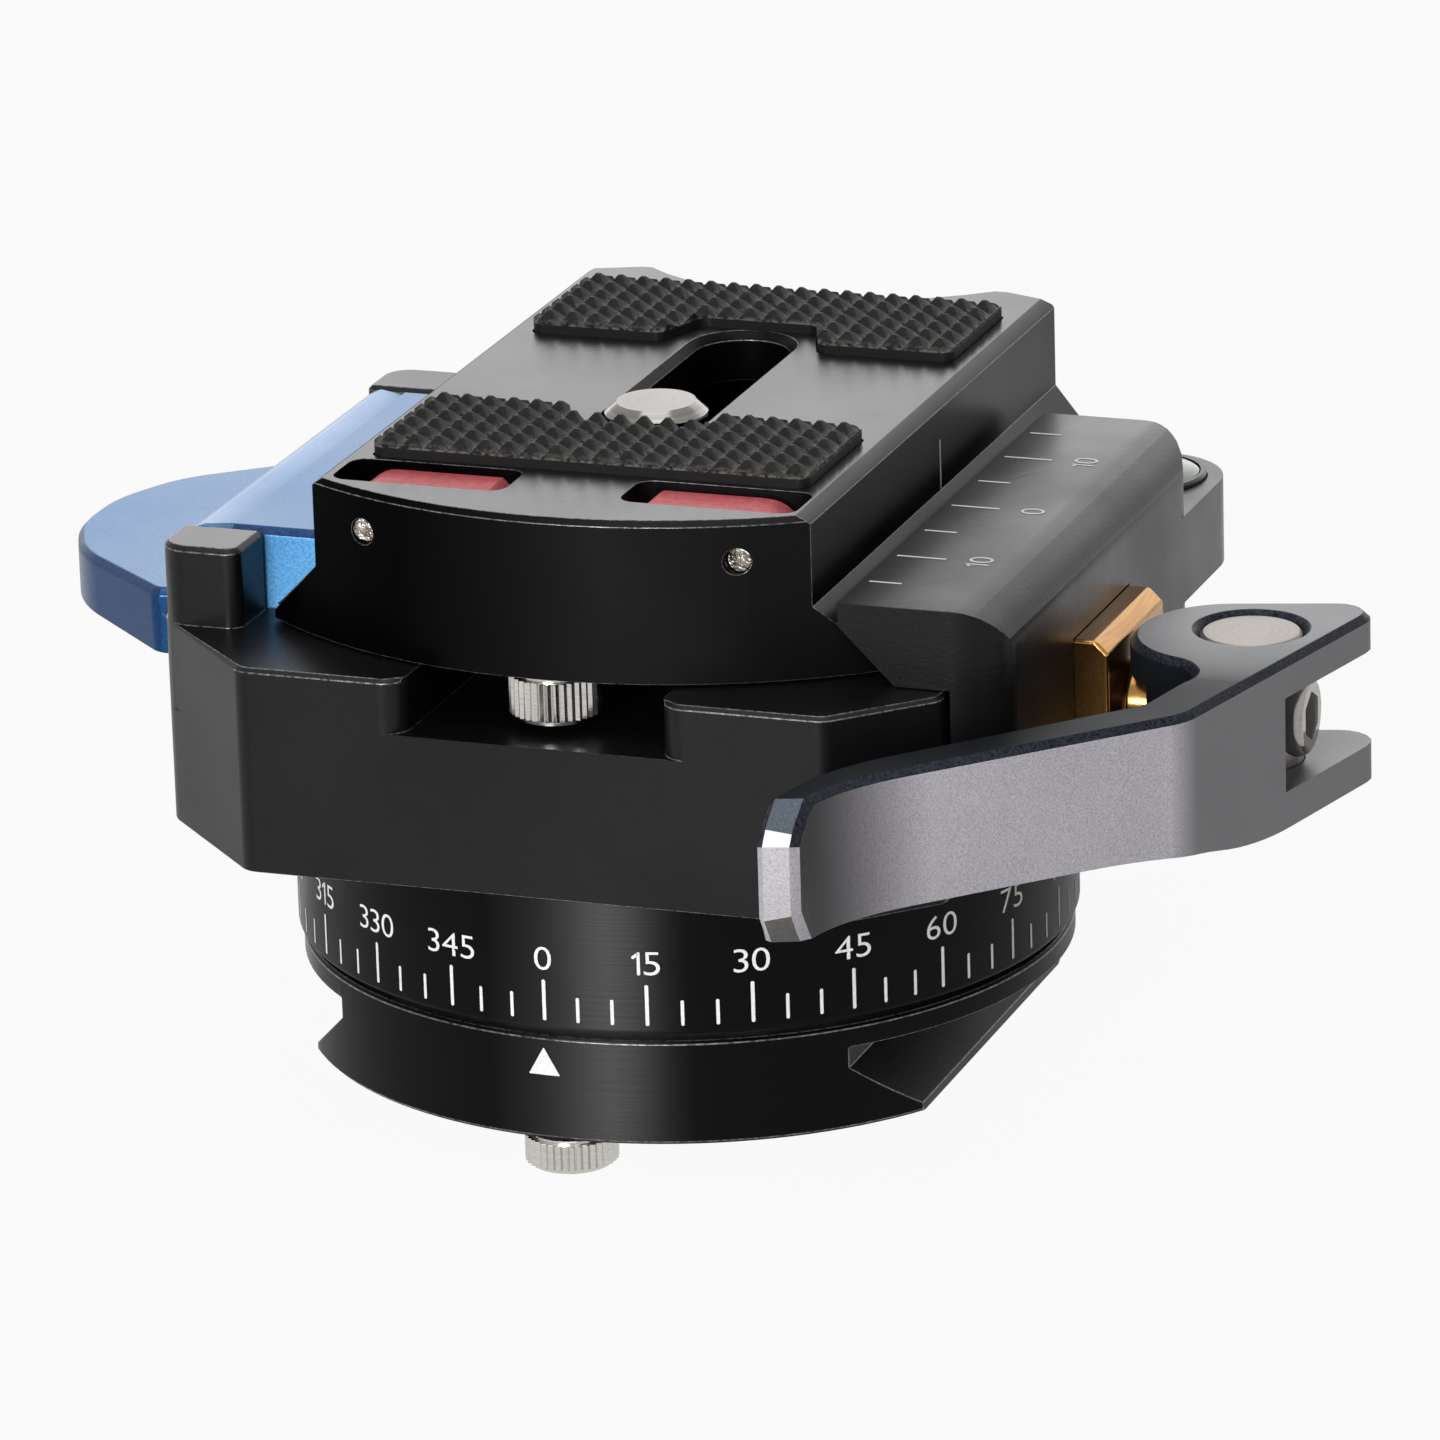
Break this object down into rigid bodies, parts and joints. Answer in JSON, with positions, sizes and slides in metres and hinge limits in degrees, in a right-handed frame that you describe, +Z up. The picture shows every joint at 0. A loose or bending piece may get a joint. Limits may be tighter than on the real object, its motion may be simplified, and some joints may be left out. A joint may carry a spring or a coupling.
{
  "type": "panning clamp",
  "caption": "Camera panning clamp: dovetail base under a degree dial, cam-lever jaw, sprung release jaw and a quick-release plate with camera screw, rubber pads and flip-up tabs.",
  "frame": {"origin": "on the pan axis at the underside of the base, the mouth of the tripod thread", "axes": "+Z up along the pan axis, +X towards the cam lever and its jaw, Y along the dovetail with the index mark and the dial's zero facing -Y"},
  "size_m": [0.0788, 0.0734, 0.0421],
  "materials": {
    "black_anodised": "fine bead-blasted black anodised aluminium",
    "dark_grey_anodised": "fine bead-blasted dark grey anodised aluminium",
    "titanium_anodised": "bead-blasted titanium-grey anodised aluminium",
    "blue_anodised": "satin blue anodised aluminium",
    "red_anodised": "satin red anodised aluminium",
    "bare_aluminium": "turned bare aluminium",
    "stainless_steel": "turned stainless steel",
    "brass": "milled brass",
    "black_rubber": "moulded matt rubber",
    "green_acrylic": "clear green acrylic",
    "bearing_plastic": "natural white bearing plastic"
  },
  "bodies": {
    "base": {"base_plate": "black_anodised", "base_stop_screws": "stainless_steel", "pan_hub": "bare_aluminium", "hub_screws": "stainless_steel", "lower_washer": "bearing_plastic", "upper_washer": "bearing_plastic"},
    "clamp": {"dial_ring": "black_anodised", "dial_screws": "stainless_steel", "clamp_body": "black_anodised", "draw_bolt": "stainless_steel", "lever_pin": "stainless_steel", "release_pin": "stainless_steel", "return_springs": "stainless_steel", "release_spring": "stainless_steel"},
    "lever": {"cam_lever": "titanium_anodised"},
    "jaw": {"clamp_jaw": "dark_grey_anodised", "guide_pins": "stainless_steel", "cam_pad": "brass", "level_vial": "green_acrylic"},
    "release": {"release_jaw": "blue_anodised"},
    "plate": {"plate": "black_anodised", "front_pad": "black_rubber", "rear_pad": "black_rubber", "tab_pins": "stainless_steel", "plate_stop_screws": "stainless_steel"},
    "left_tab": {"left_tab": "red_anodised"},
    "right_tab": {"right_tab": "red_anodised"},
    "screw_carrier": {"screw_washer": "stainless_steel"},
    "camera_screw": {"camera_screw": "stainless_steel"},
    "pan_lock": {"brake_plug": "brass", "lock_screw": "stainless_steel", "pan_knob": "black_anodised"}
  },
  "joints": [
    {"name": "pan_turn", "type": "hinge", "parent": "base", "child": "clamp", "pos_m": [0, 0, 0.0118], "axis": [0, 0, 1], "continuous": true},
    {"name": "lever_swing", "type": "hinge", "parent": "clamp", "child": "lever", "pos_m": [0.0353, 0, 0.0218], "axis": [0, 0, 1], "range_deg": [0, 75]},
    {"name": "jaw_slide", "type": "slide", "parent": "clamp", "child": "jaw", "axis": [1, 0, 0], "range_m": [0, 0.0018], "deforming": ["return_springs"]},
    {"name": "release_tilt", "type": "hinge", "parent": "clamp", "child": "release", "pos_m": [-0.0225, 0, 0.0265], "axis": [0, -1, 0], "range_deg": [0, 18], "stiffness_Nm_per_rad": 0.1, "springref_deg": -17.19, "deforming": ["release_spring"]},
    {"name": "plate_slide", "type": "slide", "parent": "clamp", "child": "plate", "axis": [0, 1, 0], "range_m": [-0.0078, 0.0094]},
    {"name": "left_tab_flip", "type": "hinge", "parent": "plate", "child": "left_tab", "pos_m": [-0.0114, -0.0173, 0.03555], "axis": [0, -1, 0], "range_deg": [0, 90]},
    {"name": "right_tab_flip", "type": "hinge", "parent": "plate", "child": "right_tab", "pos_m": [0.0114, -0.0173, 0.03555], "axis": [0, 1, 0], "range_deg": [0, 90]},
    {"name": "screw_slide", "type": "slide", "parent": "plate", "child": "screw_carrier", "axis": [0, 1, 0], "range_m": [0, 0.0149]},
    {"name": "screw_turn", "type": "hinge", "parent": "screw_carrier", "child": "camera_screw", "pos_m": [0, -0.003, 0.035], "axis": [0, 0, 1], "continuous": true},
    {"name": "lock_turn", "type": "hinge", "parent": "clamp", "child": "pan_lock", "pos_m": [0, 0.03, 0.019], "axis": [0, -1, 0], "range_deg": [0, 180]}
  ],
  "couplings": [
    {"joint": "jaw_slide", "follows": "lever_swing", "m_per_rad": 0.001375}
  ]
}
